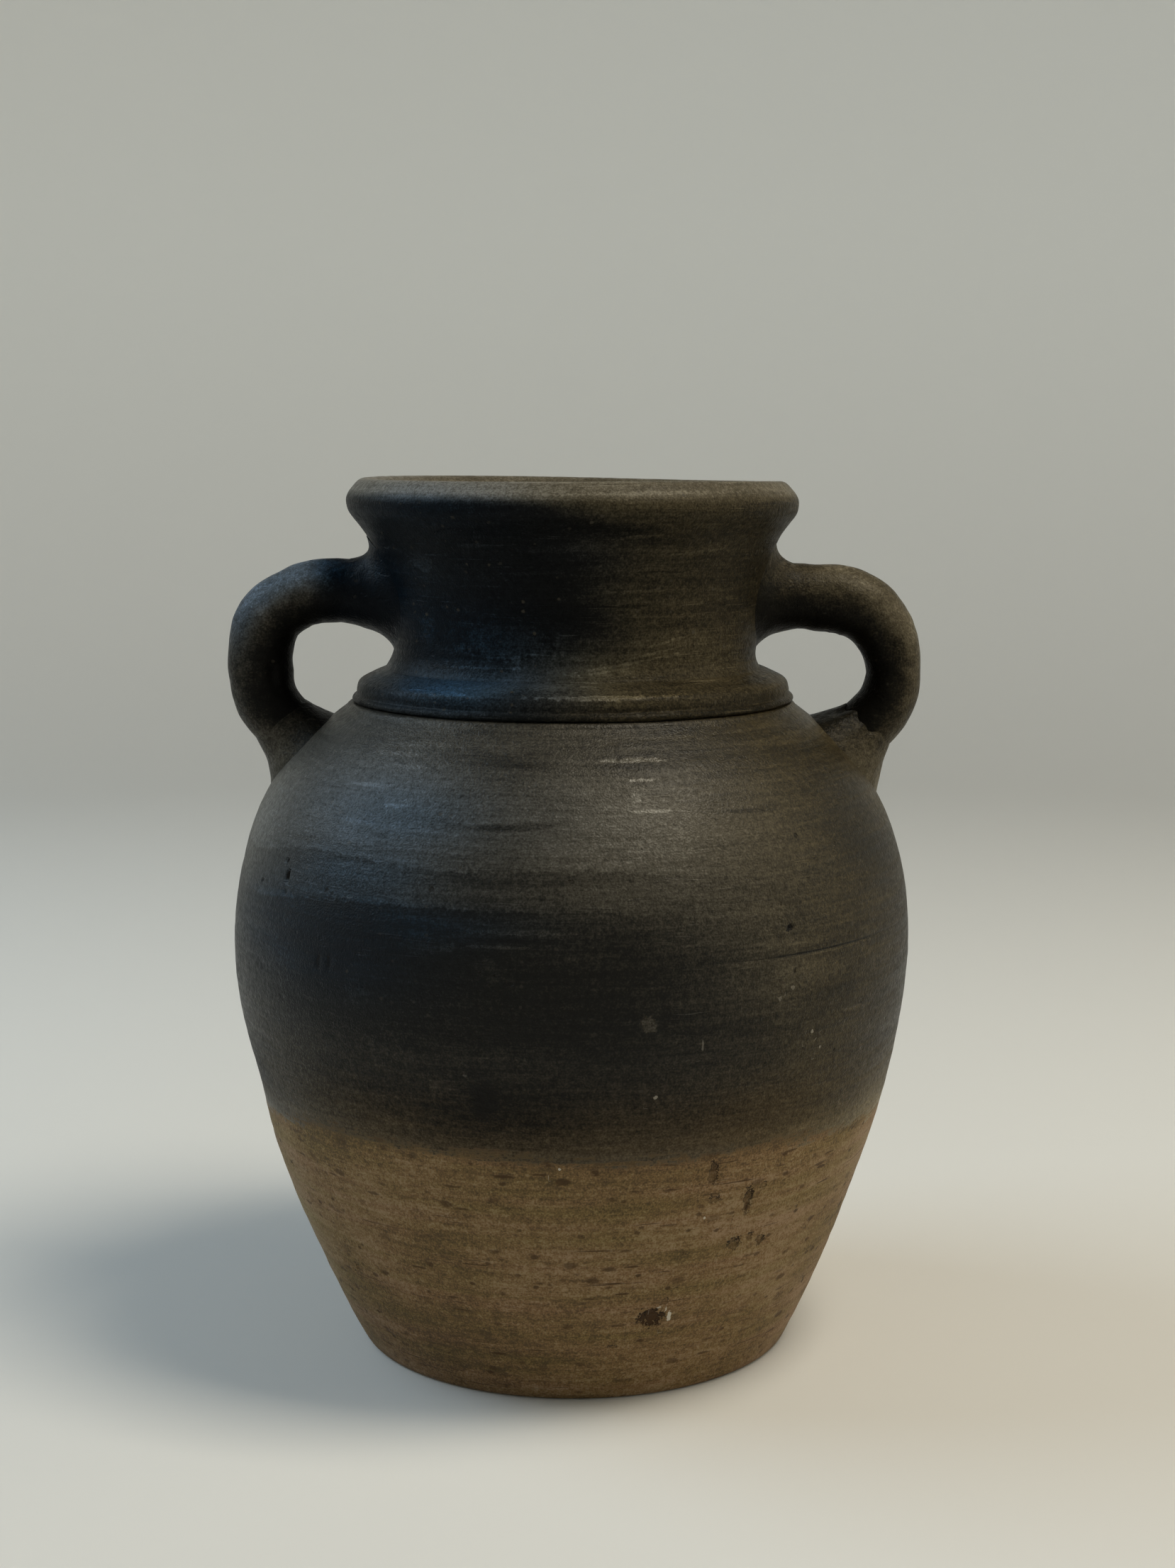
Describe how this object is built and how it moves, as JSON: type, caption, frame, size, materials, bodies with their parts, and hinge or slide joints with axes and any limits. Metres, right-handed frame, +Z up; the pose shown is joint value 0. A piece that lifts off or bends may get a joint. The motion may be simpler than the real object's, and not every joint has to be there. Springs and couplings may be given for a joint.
{
  "type": "terracotta vase",
  "caption": "Handled terracotta jar with a swelling body, raised cordon, flaring neck and rolled lip; its open mouth takes water, dry goods or stems, and loop handles carry it.",
  "frame": {"origin": "middle of the flat underside that the jar stands on", "axes": "+Z up along the axis of the mouth, X through both handles, -Y towards the viewer of the picture"},
  "size_m": [0.201, 0.1956, 0.25],
  "materials": {
    "smoked_clay": "burnished and smoke-blackened, soft sheen with streaks",
    "bare_clay": "bare buff clay, matt, with turning streaks and specks"
  },
  "bodies": {
    "root": {"lower_body": "bare_clay", "shoulder": "smoked_clay", "neck": "smoked_clay", "cordon": "smoked_clay", "left_handle": "smoked_clay", "right_handle": "smoked_clay", "left_neck_wad": "smoked_clay", "left_shoulder_wad": "smoked_clay", "right_neck_wad": "smoked_clay", "right_shoulder_wad": "smoked_clay"}
  },
  "joints": []
}
